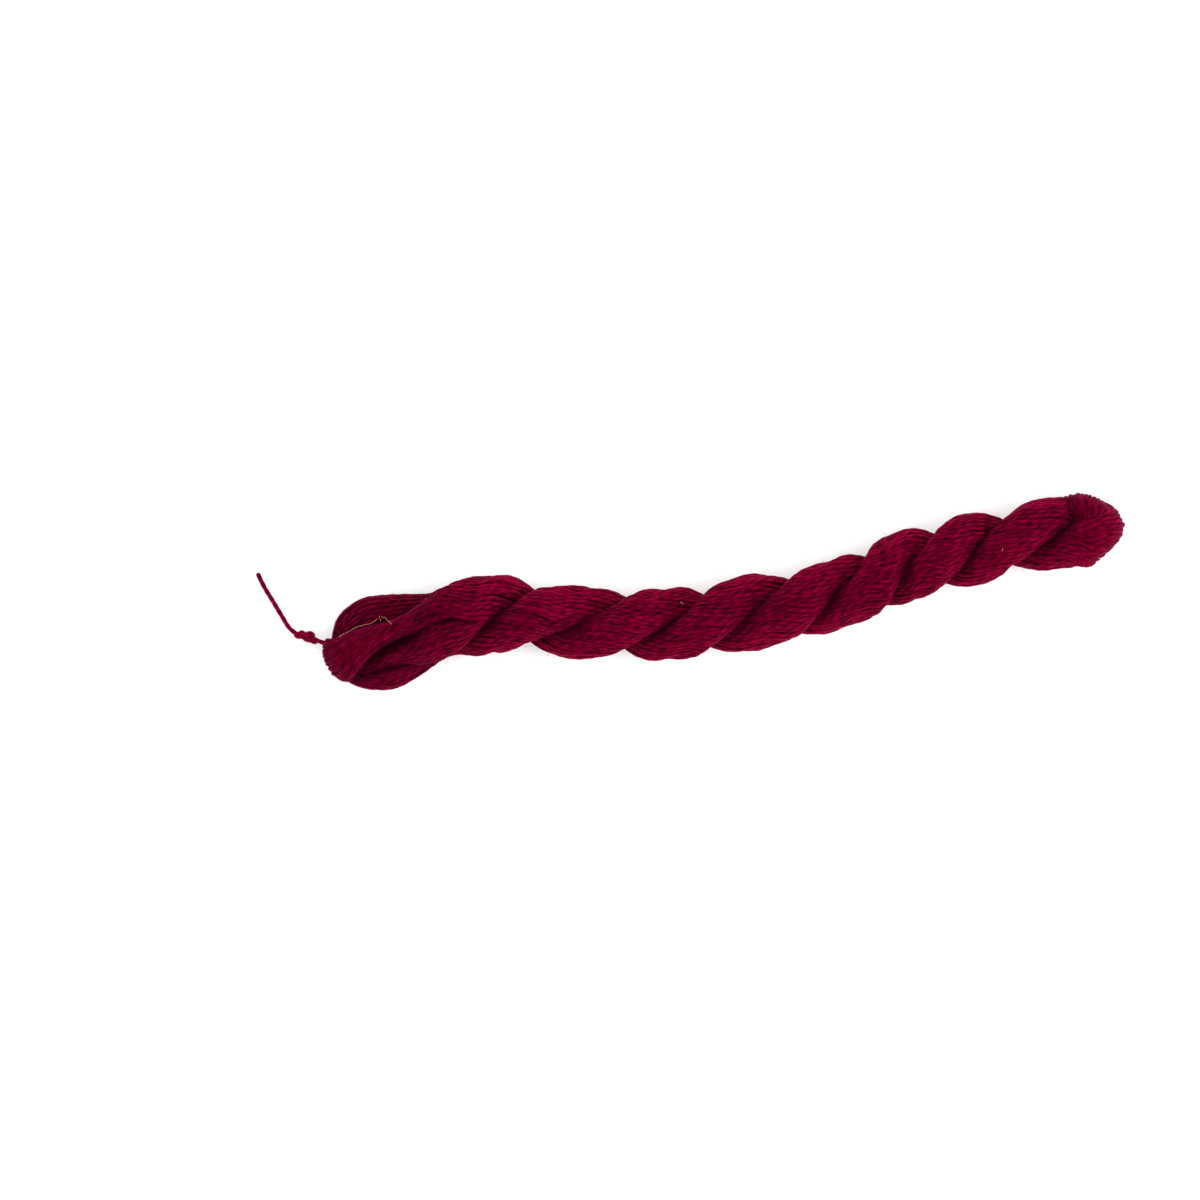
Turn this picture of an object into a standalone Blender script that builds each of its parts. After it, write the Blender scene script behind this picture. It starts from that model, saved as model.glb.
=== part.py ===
"""A twisted skein of embroidery floss lying on a flat surface, with its tie.

The hank is folded in half, so two thick plies run the length of the skein and
wrap round each other in the S direction. The fold is at +X. At -X the two loop
ends lie on each other: ply A ends in the rear lobe, and ply B opens into two
legs that meet in the front loop. A tie thread leaves that end, passes a small
knot and ends in one cut free end on the surface.

Frame: metres, +Z up, Z = 0 the surface it lies on, +X along the skein towards
the fold, origin under the middle of the skein. Tables are in millimetres.
"""

import math

import bmesh
import bpy
import numpy as np

MM = 0.001

# Overall form of the two plies
SQUASH = 0.90  # height over width of the lying skein
PLY_OFFSET = 0.465  # ply centre to skein axis, as a part of the reach
SINK = 0.45  # how much of the lowest ply is pressed flat at each crossing
LOBE_SAG = 0.9  # how much the side-by-side plies settle between crossings
STATION_STEP = 3.3  # distance between sections
PLY_SIDES = 20
LEG_SIDES = 16
INNER_POWER = 2.8  # squareness of the side that presses on the other ply

# The skein axis. One row for each crossing (half_turns whole) and for each
# place where the plies lie side by side (half_turns and a half).
# reach: axis to the outer side of a ply; half: half width of a ply across the
# skein where it passes over the other.
AXIS_COLUMNS = ("x", "y", "half_turns", "reach", "half")
AXIS = (
    (-72.9, -7.8, -1.0, 9.7, 7.5),
    (-61.2, -6.1, -0.5, 10.3, 7.1),
    (-50.0, -6.8, 0.0, 9.8, 6.8),
    (-38.4, -8.4, 0.5, 9.5, 6.9),
    (-26.4, -8.6, 1.0, 9.4, 6.7),
    (-15.5, -8.9, 1.5, 9.3, 6.9),
    (-4.6, -8.0, 2.0, 9.5, 6.9),
    (5.9, -6.0, 2.5, 9.8, 7.1),
    (17.5, -4.4, 3.0, 9.3, 7.2),
    (27.7, -1.4, 3.5, 8.9, 7.1),
    (38.9, 2.3, 4.0, 8.9, 6.8),
    (46.9, 6.3, 4.5, 9.2, 6.9),
    (55.8, 8.3, 5.0, 9.2, 6.6),
    (64.1, 10.5, 5.5, 9.4, 6.9),
    (73.4, 12.4, 6.0, 9.4, 6.2),
    (80.2, 14.2, 6.5, 9.5, 6.6),
    (87.5, 15.0, 7.0, 9.2, 7.4),
)

# The ends, each a row of upright sections: middle, half width, half height.
END_COLUMNS = ("x", "y", "z", "half_y", "half_z")
REAR_LOBE = (  # end of ply A, under the front loop
    (-102.6, -12.6, 4.2, 4.6, 4.4),
    (-97.5, -10.0, 4.2, 6.3, 4.6),
    (-92.0, -8.2, 4.2, 6.9, 4.7),
    (-86.0, -7.5, 4.2, 6.8, 4.7),
    (-79.0, -7.3, 4.3, 6.9, 4.7),
    (-72.9, -7.6, 4.4, 7.2, 4.8),
)
UPPER_LEG = (  # front loop, the leg that crosses over the rear lobe
    (-103.7, -17.2, 6.2, 4.6, 4.8),
    (-98.0, -15.8, 7.6, 6.6, 5.2),
    (-93.5, -14.0, 9.0, 6.2, 4.8),
    (-88.5, -11.6, 10.2, 4.4, 4.4),
    (-83.0, -9.2, 11.3, 3.9, 4.2),
    (-77.5, -7.0, 12.4, 4.3, 4.2),
    (-70.0, -4.4, 12.4, 3.8, 3.6),
    (-64.0, -3.0, 11.4, 3.0, 3.2),
)
LOWER_LEG = (  # front loop, the leg along the near side
    (-100.6, -22.0, 4.6, 2.8, 4.2),
    (-94.5, -22.35, 4.6, 3.2, 5.0),
    (-89.5, -20.78, 4.6, 4.9, 5.1),
    (-83.5, -18.6, 5.2, 5.6, 5.4),
    (-77.5, -15.2, 6.6, 5.4, 5.4),
    (-72.0, -11.8, 9.0, 4.6, 4.8),
    (-66.0, -9.6, 10.4, 3.8, 4.0),
)
FOLD = (  # where ply B turns back as ply A
    (80.5, 14.6, 8.1, 5.2, 5.2),
    (86.5, 15.2, 8.1, 8.8, 7.3),
    (91.0, 15.5, 8.1, 9.9, 7.7),
    (95.5, 15.8, 8.0, 9.9, 7.5),
    (99.5, 16.3, 7.9, 8.6, 7.2),
    (103.9, 16.6, 7.8, 6.9, 6.8),
)

# The tie
THREAD = 1.3  # diameter
KNOT_LENGTH, KNOT_DIAMETER, KNOT_BORE = 5.2, 3.6, 2.2
TIE_COLUMNS = ("x", "y", "z")
TIE_ROUTE = (
    (-102.75, -14.4, 3.65),
    (-104.9, -13.7, 2.6),
    (-106.2, -13.2, 2.05),
    (-107.7, -12.7, 1.87),
    (-109.2, -12.2, 1.85),
    (-110.7, -11.7, 1.85),
    (-112.2, -11.15, 1.75),
    (-113.9, -9.6, 1.15),
    (-115.6, -6.9, 0.75),
    (-118.0, -2.9, 0.7),
    (-120.3, 0.9, 0.7),
    (-122.0, 4.4, 0.7),
)
KNOT_AT = 4  # place of the knot's middle along the rows of the route


def smooth(rows, at):
    """Every column after the first, at these values of the first, on a smooth curve through the rows."""
    rows = np.asarray(rows, float)
    at = np.atleast_1d(np.asarray(at, float))
    x, values = rows[:, 0], rows[:, 1:]
    slope = np.gradient(values, x, axis=0)
    i = np.clip(np.searchsorted(x, at) - 1, 0, len(x) - 2)
    width = (x[i + 1] - x[i])[:, None]
    t = (at - x[i])[:, None] / width
    t = np.clip(t, 0, 1)
    return (
        values[i] * (1 + 2 * t) * (1 - t) ** 2
        + slope[i] * width * t * (1 - t) ** 2
        + values[i + 1] * t * t * (3 - 2 * t)
        + slope[i + 1] * width * t * t * (t - 1)
    )


def step(x, low, high):
    t = np.clip((x - low) / (high - low), 0, 1)
    return t * t * (3 - 2 * t)


def stations(start, end, round_start, round_end):
    """Places of the sections, closer together where the ends are rounded."""
    inner = np.linspace(
        start + round_start,
        end - round_end,
        2 + int((end - start - round_start - round_end) / STATION_STEP),
    )
    turn = np.radians([8, 30, 55, 75])
    first = start + round_start * (1 - np.sin(turn[::-1])) if round_start else []
    last = end - round_end * (1 - np.sin(turn)) if round_end else []
    if len(first):
        first = start + round_start * (1 - np.cos(turn))
    return np.concatenate([first, inner, last])


def rounding(x, start, end, round_start, round_end):
    """How far a section is drawn in near the rounded ends, 0 to 1."""
    into = np.ones_like(x)
    for distance, radius in ((x - start, round_start), (end - x, round_end)):
        if radius:
            t = np.clip(1 - distance / radius, 0, 1)
            into = np.minimum(into, np.sqrt(np.maximum(1 - t * t, 0)))
    return into


def superellipse(angle, power_below):
    """Unit section, rounder above its middle and squarer below."""
    c, s = np.cos(angle), np.sin(angle)
    power = np.where(s < 0, 2 / power_below, 1.0)
    return np.sign(c) * np.abs(c) ** power, np.sign(s) * np.abs(s) ** power


def axis_frame(x):
    y, half_turns, reach, half = smooth(AXIS, x).T
    ahead = smooth(AXIS, np.minimum(x + 0.5, AXIS[-1][0]))[:, 0]
    behind = smooth(AXIS, np.maximum(x - 0.5, AXIS[0][0]))[:, 0]
    slope = (ahead - behind) / (
        np.minimum(x + 0.5, AXIS[-1][0]) - np.maximum(x - 0.5, AXIS[0][0])
    )
    length = np.sqrt(1 + slope**2)
    across = np.stack([-slope / length, 1 / length], axis=1)
    return y, half_turns, reach, half, across


def ply_rings(x, lead, sides):
    """Sections of a ply that is `lead` half turns ahead, as (station, side, xyz)."""
    y, half_turns, reach, half, across = axis_frame(x)
    phase = np.pi * (half_turns + lead)
    offset = PLY_OFFSET * reach
    thick = reach - offset
    height = SQUASH * reach - SINK
    around = 2 * np.pi * np.arange(sides) / sides
    angle = around[None, :] + phase[:, None]
    c, s = superellipse(angle, INNER_POWER)
    sin, cos = np.sin(phase)[:, None], np.cos(phase)[:, None]
    sideways = offset[:, None] * sin + half[:, None] * c * cos + thick[:, None] * s * sin
    upward = offset[:, None] * cos - half[:, None] * c * sin + thick[:, None] * s * cos
    rings = np.empty((len(x), sides, 3))
    rings[..., 0] = x[:, None] + sideways * across[:, :1]
    rings[..., 1] = y[:, None] + sideways * across[:, 1:]
    rings[..., 2] = height[:, None] - LOBE_SAG * sin**2 + SQUASH * upward
    return rings


def end_rings(rows, x, sides, turned=0.0, at=None):
    """Upright elliptical sections from a table of an end."""
    y, z, half_y, half_z = smooth(rows, x if at is None else at).T
    angle = (2 * np.pi * np.arange(sides) / sides + turned)[None, :]
    rings = np.empty((len(x), sides, 3))
    rings[..., 0] = x[:, None]
    rings[..., 1] = y[:, None] + half_y[:, None] * np.cos(angle)
    rings[..., 2] = z[:, None] + half_z[:, None] * np.sin(angle)
    return rings


def drawn_in(rings, into):
    middle = rings.mean(axis=1, keepdims=True)
    return middle + (rings - middle) * into[:, None, None]


def lofted(name, rings):
    """A closed mesh through the sections, with a point at each end."""
    count, sides, _ = rings.shape
    mesh = bmesh.new()
    grid = [[mesh.verts.new(point * MM) for point in ring] for ring in rings]
    for i in range(count - 1):
        for j in range(sides):
            k = (j + 1) % sides
            mesh.faces.new((grid[i][j], grid[i][k], grid[i + 1][k], grid[i + 1][j]))
    for ring, next_ring in ((0, 1), (count - 1, count - 2)):
        middle = rings[ring].mean(axis=0)
        past = middle + 0.12 * (middle - rings[next_ring].mean(axis=0))
        pole = mesh.verts.new(past * MM)
        for j in range(sides):
            mesh.faces.new((grid[ring][j], grid[ring][(j + 1) % sides], pole))
    bmesh.ops.triangulate(mesh, faces=mesh.faces)
    bmesh.ops.recalc_face_normals(mesh, faces=mesh.faces)
    data = bpy.data.meshes.new(name)
    mesh.to_mesh(data)
    mesh.free()
    if data.polygons and signed_volume(data) < 0:
        data.flip_normals()
    return bpy.data.objects.new(name, data)


def signed_volume(data):
    mesh = bmesh.new()
    mesh.from_mesh(data)
    volume = mesh.calc_volume(signed=True)
    mesh.free()
    return volume


def material(name, colour, roughness):
    made = bpy.data.materials.new(name)
    made.use_nodes = True
    shader = made.node_tree.nodes["Principled BSDF"]
    shader.inputs["Base Color"].default_value = (*colour, 1)
    shader.inputs["Roughness"].default_value = roughness
    shader.inputs["Metallic"].default_value = 0
    made.diffuse_color = (*colour, 1)
    return made


def finish(obj, collection, finish_material):
    collection.objects.link(obj)
    obj.data.materials.append(finish_material)
    if obj.type == "MESH":
        obj.data.shade_smooth()
    return obj


def helper(obj, collection):
    collection.objects.link(obj)
    obj.hide_render = True
    obj.display_type = "WIRE"
    return obj


def boolean(obj, other, operation):
    modifier = obj.modifiers.new(other.name, "BOOLEAN")
    modifier.operation = operation
    modifier.solver = "EXACT"
    modifier.object = other


def table_loft(name, rows, round_start, round_end, sides):
    start, end = rows[0][0], rows[-1][0]
    x = stations(start, end, round_start, round_end)
    into = rounding(x, start, end, round_start, round_end)
    return lofted(name, drawn_in(end_rings(rows, x, sides), into))


def make_skein(parts, helpers):
    # Ply A: from the rear lobe through all crossings into the fold
    start, end = REAR_LOBE[0][0], 88.5
    x = stations(start, end, 6.5, 5.0)
    into = rounding(x, start, end, 6.5, 5.0)
    blend = step(x, -76.5, -66.5)[:, None, None]
    twisted = ply_rings(np.clip(x, AXIS[0][0], AXIS[-1][0]), 0.0, PLY_SIDES)
    twisted[..., 0] += (x - np.clip(x, AXIS[0][0], AXIS[-1][0]))[:, None]
    lobe = end_rings(REAR_LOBE, np.minimum(x, REAR_LOBE[-1][0]), PLY_SIDES)
    lobe[..., 0] = x[:, None]
    skein = lofted("skein", drawn_in(lobe * (1 - blend) + twisted * blend, into))
    finish(skein, parts, material("floss", (0.098, 0.0015, 0.016), 0.55))

    # Ply B: half a turn ahead, from the front loop into the fold
    start, end = -75.5, 88.9
    x = stations(start, end, 5.0, 5.0)
    into = rounding(x, start, end, 5.0, 5.0)
    inside = np.clip(x, AXIS[0][0], AXIS[-1][0])
    rings = ply_rings(inside, 1.0, PLY_SIDES)
    rings[..., 0] += (x - inside)[:, None]
    joined = [lofted("ply_b", drawn_in(rings, into))]
    joined.append(table_loft("upper_leg", UPPER_LEG, 5.2, 4.0, LEG_SIDES))
    joined.append(table_loft("lower_leg", LOWER_LEG, 4.0, 4.0, LEG_SIDES))
    joined.append(table_loft("fold", FOLD, 5.0, 10.0, PLY_SIDES))
    for obj in joined:
        boolean(skein, helper(obj, helpers), "UNION")

    # What would lie below the surface is pressed flat
    bpy.ops.mesh.primitive_cube_add(size=1, location=(0, 0, -0.01))
    below = bpy.context.object
    below.name = "surface_cut"
    below.scale = (0.3, 0.1, 0.02)
    for owner in below.users_collection:
        owner.objects.unlink(below)
    boolean(skein, helper(below, helpers), "DIFFERENCE")
    return skein


def tie_points(count):
    route = np.asarray(TIE_ROUTE)
    rows = np.column_stack([np.arange(len(route)), route])
    fine = smooth(rows, np.linspace(0, len(route) - 1, 400))
    walked = np.concatenate(
        [[0], np.cumsum(np.linalg.norm(np.diff(fine, axis=0), axis=1))]
    )
    even = np.linspace(0, walked[-1], count)
    return np.stack([np.interp(even, walked, fine[:, k]) for k in range(3)], axis=1)


def make_tie(parts):
    points = tie_points(16)
    data = bpy.data.curves.new("tie", "CURVE")
    data.dimensions = "3D"
    spline = data.splines.new("POLY")
    spline.points.add(len(points) - 1)
    for point, at in zip(spline.points, points):
        point.co = (*(at * MM), 1)
    data.bevel_depth = THREAD / 2 * MM
    data.bevel_resolution = 2
    data.use_fill_caps = True
    tie = bpy.data.objects.new("tie", data)
    return finish(tie, parts, material("tie_thread", (0.09, 0.0015, 0.015), 0.6))


def make_knot(parts):
    route = np.asarray(TIE_ROUTE)
    rows = np.column_stack([np.arange(len(route)), route])
    middle, before, after = smooth(rows, [KNOT_AT, KNOT_AT - 0.4, KNOT_AT + 0.4])
    along = (after - before) / np.linalg.norm(after - before)
    # Profile at +X, down its outer side and up the bore
    outer, bore, half = KNOT_DIAMETER / 2, KNOT_BORE / 2, KNOT_LENGTH / 2
    outline = [(bore, half)]
    for degrees in range(75, -90, -15):
        swell = math.cos(math.radians(degrees))
        outline.append(
            (bore + (outer - bore) * swell**0.6, half * math.sin(math.radians(degrees)))
        )
    outline.append((bore, -half))
    data = bpy.data.meshes.new("tie_knot")
    points = [(r * MM, 0, z * MM) for r, z in outline]
    edges = [(i, (i + 1) % len(points)) for i in range(len(points))]
    data.from_pydata(points, edges, [])
    knot = bpy.data.objects.new("tie_knot", data)
    turn = knot.modifiers.new("turn", "SCREW")
    turn.steps = turn.render_steps = 16
    turn.use_merge_vertices = True
    turn.merge_threshold = 0.000001
    turn.use_normal_calculate = True
    knot.location = middle * MM
    level = math.hypot(along[0], along[1])
    knot.rotation_euler = (
        0,
        math.atan2(level, along[2]),
        math.atan2(along[1], along[0]),
    )
    return finish(knot, parts, material("tie_knot", (0.085, 0.0015, 0.014), 0.6))


def main():
    for obj in list(bpy.data.objects):
        bpy.data.objects.remove(obj, do_unlink=True)
    parts = bpy.data.collections.new("floss_skein")
    helpers = bpy.data.collections.new("helpers")
    bpy.context.scene.collection.children.link(parts)
    bpy.context.scene.collection.children.link(helpers)
    make_skein(parts, helpers)
    make_tie(parts)
    make_knot(parts)


main()
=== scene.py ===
"""Looks of the twisted skein of embroidery floss: its single plied threads, their
loops and fold, loose fibres, and the tie thread with its knot.

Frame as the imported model: metres, +Z up, Z = 0 the surface. Tables in millimetres.
"""

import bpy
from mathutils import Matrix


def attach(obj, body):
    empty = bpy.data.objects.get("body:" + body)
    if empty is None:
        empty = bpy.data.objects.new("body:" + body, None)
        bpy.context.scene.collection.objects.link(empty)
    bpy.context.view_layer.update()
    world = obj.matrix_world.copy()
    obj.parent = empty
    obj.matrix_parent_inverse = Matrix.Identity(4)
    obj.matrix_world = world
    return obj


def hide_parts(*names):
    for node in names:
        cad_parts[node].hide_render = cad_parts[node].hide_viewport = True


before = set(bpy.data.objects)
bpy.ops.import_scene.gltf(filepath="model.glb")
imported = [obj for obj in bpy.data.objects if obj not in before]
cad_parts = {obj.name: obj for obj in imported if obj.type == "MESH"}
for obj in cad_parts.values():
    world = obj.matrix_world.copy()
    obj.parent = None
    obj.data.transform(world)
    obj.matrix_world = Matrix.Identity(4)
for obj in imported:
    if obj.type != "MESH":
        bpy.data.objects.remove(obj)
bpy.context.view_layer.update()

import math

import bpy
import numpy as np
from mathutils import Vector

MM = 0.001
rng = np.random.default_rng(20)

# ---------------------------------------------------------------- form tables
SQUASH, PLY_OFFSET, SINK, LOBE_SAG, INNER_POWER = 0.90, 0.465, 0.45, 0.9, 2.3
CORNER_POWERS = 3.4, 1.7  # of a ply's inner corners: the full one, the cut one
AXIS = np.array((  # x, y, half_turns, reach, half
    (-72.9, -8.3, -1.0, 9.7, 8.8),
    (-66.5, -6.9, -0.8, 10.3, 8.4),
    (-59.8, -6.2, -0.5, 10.1, 7.5),
    (-50.0, -6.8, 0.0, 9.8, 6.8),
    (-38.4, -8.4, 0.5, 9.5, 6.9),
    (-26.4, -8.6, 1.0, 9.4, 6.7),
    (-15.5, -8.9, 1.5, 9.3, 6.9),
    (-4.6, -8.0, 2.0, 9.5, 6.9),
    (5.9, -6.0, 2.5, 9.8, 7.1),
    (17.5, -4.4, 3.0, 9.3, 7.2),
    (27.7, -1.4, 3.5, 8.9, 7.1),
    (38.9, 2.3, 4.0, 8.9, 6.8),
    (46.9, 6.3, 4.5, 9.2, 6.9),
    (55.8, 8.3, 5.0, 9.2, 6.6),
    (64.1, 10.5, 5.5, 9.4, 6.9),
    (73.4, 12.4, 6.0, 9.4, 6.2),
    (82.8, 14.5, 6.36, 9.5, 6.8),
    (91.5, 14.8, 6.76, 9.2, 7.4),
))
# The two loops at the left end, as sections that each thread passes through,
# from the leg at +Y to the leg at -Y. outer and inner are the ends of a
# section's long side in plan, z its middle, thick its half thickness, turn how
# far it has turned over, in degrees (at 180 its top is below), and rise how
# much higher the inner end lies than the outer.
FRONT_LOOP = np.array((  # outer_x, outer_y, inner_x, inner_y, z, thick, turn, rise
    (-63.8, 2.6, -63.8, -4.2, 12.4, 4.4, 0, 0),
    (-72.2, 0.8, -72.7, -8.3, 12.2, 4.5, 0, 0),
    (-77.4, -2.3, -78.4, -10.7, 11.4, 4.5, 0, 0.5),
    (-81.2, -5.2, -82.3, -11.7, 10.6, 4.5, 0, 1),
    (-84.9, -7.3, -85.7, -13.0, 10.0, 4.3, 0, 1.5),
    (-88.3, -8.6, -89.4, -14.9, 9.7, 4.2, 0, 2),
    (-92.2, -9.4, -92.2, -17.4, 9.3, 4.1, 3, 2.5),
    (-96.1, -10.4, -94.3, -19.9, 8.7, 4.0, 10, 2),
    (-99.7, -11.7, -96.0, -22.2, 7.9, 3.9, 28, 1),
    (-102.3, -12.2, -96.9, -23.7, 6.9, 3.7, 62, 0),
    (-103.2, -12.2, -98.4, -23.4, 6.0, 3.6, 92, 0),
    (-102.0, -12.5, -97.4, -23.9, 5.1, 3.7, 140, 0),
    (-98.9, -12.7, -95.0, -23.7, 4.7, 3.9, 172, 0),
    (-95.0, -13.3, -92.4, -22.9, 4.7, 4.1, 180, 0),
    (-90.9, -13.0, -89.3, -21.1, 4.9, 4.3, 180, 0),
    (-87.2, -12.0, -85.7, -19.8, 5.4, 4.5, 180, 0),
    (-83.6, -10.7, -82.0, -19.5, 6.2, 4.7, 180, 0),
    (-78.4, -8.6, -76.8, -19.0, 9.6, 4.7, 180, 0),
    (-73.2, -6.4, -72.2, -17.4, 11.8, 4.5, 180, 0),
    (-68.5, -5.0, -68.2, -16.0, 12.5, 4.4, 180, 0),
    (-63.8, -4.2, -63.8, -12.5, 12.4, 4.4, 180, 0),
))
REAR_LOOP = np.array((
    (-63.8, -0.3, -63.8, -7.8, 4.6, 4.2, 0, 0),
    (-72.2, -0.5, -72.2, -8.8, 4.6, 4.3, 0, 0),
    (-78.1, -1.0, -78.1, -10.9, 4.8, 4.5, 0, 0),
    (-83.3, -1.0, -83.3, -12.5, 5.0, 4.7, 0, 0),
    (-88.5, -1.2, -88.3, -14.3, 5.1, 4.8, 0, 0),
    (-93.5, -1.8, -92.2, -15.3, 5.1, 4.8, 0, 0),
    (-97.9, -3.9, -93.5, -15.9, 4.8, 4.5, 0, 0),
    (-100.9, -7.0, -94.0, -16.4, 4.5, 4.2, 0, 0),
    (-102.4, -11.7, -94.2, -17.2, 4.3, 4.1, 0, 0),
    (-102.3, -17.2, -93.7, -17.9, 4.2, 4.0, 0, 0),
    (-100.8, -21.6, -92.4, -18.5, 4.1, 3.9, 0, 0),
    (-97.1, -24.7, -90.6, -18.5, 4.0, 3.8, 0, 0),
    (-91.9, -26.0, -88.8, -17.9, 4.0, 3.8, 0, 0),
    (-85.7, -25.7, -85.4, -16.9, 4.0, 3.8, 0, 0),
    (-79.9, -22.6, -81.0, -15.1, 4.1, 3.9, 0, 0),
    (-76.1, -19.8, -76.8, -13.0, 4.2, 4.0, 0, 0),
    (-72.9, -17.6, -73.3, -10.4, 4.4, 4.1, 0, 0),
    (-69.4, -15.9, -69.6, -8.8, 4.5, 4.2, 0, 0),
    (-63.8, -14.8, -63.8, -7.8, 4.6, 4.2, 0, 0),
))
LEFT_BLEND = (-79.0, -65.0)  # where the legs join into the plies
# The fold at the right end: how far out it reaches at each y, then its middle
# and half width from over (0) round the tip to under (180)
TIP = np.array((  # y, x
    (4.6, 91.6),
    (6.0, 94.6),
    (8.8, 98.2),
    (11.5, 101.3),
    (14.3, 103.4),
    (16.9, 103.9),
    (19.5, 102.8),
    (22.1, 100.4),
    (24.2, 97.6),
))
FOLD_TURN = np.array((  # degrees, y, half
    (0, 12.6, 7.7),
    (60, 13.4, 7.8),
    (110, 14.3, 7.7),
    (180, 15.4, 8.4),
))
FOLD_Z, FOLD_MID, FOLD_THICK = 8.1, 3.5, 3.6
RIGHT_BLEND = (87.0, 96.0)  # where the plies join into the fold
RIM = np.array((  # x, y along the edge that threads wrap over, at +Y of the fold
    (86.2, 23.6),
    (88.6, 24.5),
    (90.4, 25.1),
    (92.2, 25.4),
    (95.0, 24.9),
    (97.6, 23.7),
    (100.0, 21.8),
    (102.3, 19.3),
))

# Threads
THREAD_R = 0.64
PITCH = 6.4  # one turn of the two plies of a thread
STEP = 0.6  # distance between rings
# painted shade in the creases: how much it darkens them, over a wide and a near reach
CREASE_WIDE, CREASE_NEAR = 0.62, 0.42  # how far the creases darken
# painted shade: the share of the colour kept on a thread's sides that face the next threads
GAP_SHADE = 0.7  # of the colour, deep between two threads
TURNS_PER_TURN = 1.25  # of the threads in a ply for each turn of the plies
TURN_FASTER = 0.10  # and faster where a ply is on top
SHELLS = ((1.0, 30), (0.79, 24), (0.58, 16), (0.37, 10), (0.16, 6))


def smooth(rows, at):
    at = np.atleast_1d(np.asarray(at, float))
    x, values = rows[:, 0], rows[:, 1:]
    slope = np.gradient(values, x, axis=0)
    i = np.clip(np.searchsorted(x, at) - 1, 0, len(x) - 2)
    width = (x[i + 1] - x[i])[:, None]
    t = np.clip((at - x[i])[:, None] / width, 0, 1)
    return (
        values[i] * (1 + 2 * t) * (1 - t) ** 2
        + slope[i] * width * t * (1 - t) ** 2
        + values[i + 1] * t * t * (3 - 2 * t)
        + slope[i + 1] * width * t * t * (t - 1)
    )


def step(x, low, high):
    t = np.clip((x - low) / (high - low), 0, 1)
    return t * t * (3 - 2 * t)


def walked_length(points):
    return np.concatenate(
        [[0], np.cumsum(np.linalg.norm(np.diff(points, axis=0), axis=1))]
    )


# ------------------------------------------------- where a thread is in a ply
def section_table():
    """Outline of the unit section against its share of the way round, from the top."""
    t = np.linspace(0, 2 * np.pi, 2001) + np.pi / 2
    c, s = np.cos(t), np.sin(t)
    corner = np.where(c < 0, 2 / CORNER_POWERS[0], 2 / CORNER_POWERS[1])
    power = np.where(s < 0, corner, 1.0)
    c2, s2 = np.sign(c) * np.abs(c) ** power, np.sign(s) * np.abs(s) ** power
    along = walked_length(np.stack([c2 * 6.3, s2 * 4.5], axis=1))
    half = len(along) // 2  # each side of the section is half of the way
    first = 0.5 * along / along[half]
    second = 0.5 + 0.5 * (along - along[half]) / (along[-1] - along[half])
    return np.where(np.arange(len(along)) <= half, first, second), c2, s2


SHARE, OUTLINE_P, OUTLINE_Q = section_table()


def unit_place(share, radius):
    share = np.mod(share, 1.0)
    return (
        radius * np.interp(share, SHARE, OUTLINE_P),
        radius * np.interp(share, SHARE, OUTLINE_Q),
    )


def axis_at(x):
    inside = np.clip(x, AXIS[0, 0], AXIS[-1, 0])
    y, half_turns, reach, half = smooth(AXIS, inside).T
    high = np.minimum(inside + 0.5, AXIS[-1, 0])
    low = np.maximum(inside - 0.5, AXIS[0, 0])
    slope = (smooth(AXIS, high)[:, 0] - smooth(AXIS, low)[:, 0]) / (high - low)
    length = np.sqrt(1 + slope**2)
    return y, half_turns, reach, half, -slope / length, 1 / length


def ripple(share, x, radius):
    """Grooves and swellings that neighbouring threads share: shift round, lift out."""
    wave = 2 * np.pi
    shift = 0.007 * np.sin(wave * (x / 41.0 + 2 * share)) + 0.005 * np.sin(
        wave * (x / 23.0 - 3 * share) + 1.0
    )
    lift = 0.035 * np.sin(wave * (3 * share + x / 57.0)) + 0.03 * np.sin(
        wave * (5 * share - x / 38.0) + 2.0
    )
    return shift * radius, lift


def ply_strand(lead, share0, radius, x):
    """Places (len(x), 3) of a thread of a ply at the stations x."""
    y, half_turns, reach, half, nx, ny = axis_at(x)
    phase = np.pi * (half_turns + lead)
    share = share0 + TURNS_PER_TURN * (half_turns + 1) / 2
    share = share + TURN_FASTER * np.sin(phase)
    shift, lift = ripple(share + lead * 0.37, x, radius)
    ease = step(x, -72.0, -62.0) * (1 - step(x, 78.0, 86.0))
    p, q = unit_place(share + shift * ease, radius)
    p, q = p * (1 + lift * ease), q * (1 + lift * ease)
    offset = PLY_OFFSET * reach
    thick = reach - offset - THREAD_R
    height = SQUASH * reach - SINK
    sin, cos = np.sin(phase), np.cos(phase)
    across, outward = (half - THREAD_R) * p, offset + thick * q
    sideways = outward * sin + across * cos
    upward = outward * cos - across * sin
    return np.stack(
        [
            x + sideways * nx,
            y + sideways * ny,
            height - LOBE_SAG * sin**2 + SQUASH * upward,
        ],
        axis=1,
    )


# --------------------------------------------------- the loops at the left end
def disc_place(p, q):
    """Where the half section p > 0 puts a thread once it is a round leg."""
    q = np.clip(q, -0.9999, 0.9999)
    power = np.where(q < 0, INNER_POWER, 2.0)
    rim = np.maximum(1 - np.abs(q) ** power, 1e-4) ** (1 / power)
    u = np.clip(2 * p / rim - 1, -1, 1)
    return u * np.sqrt(1 - q * q), q


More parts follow.
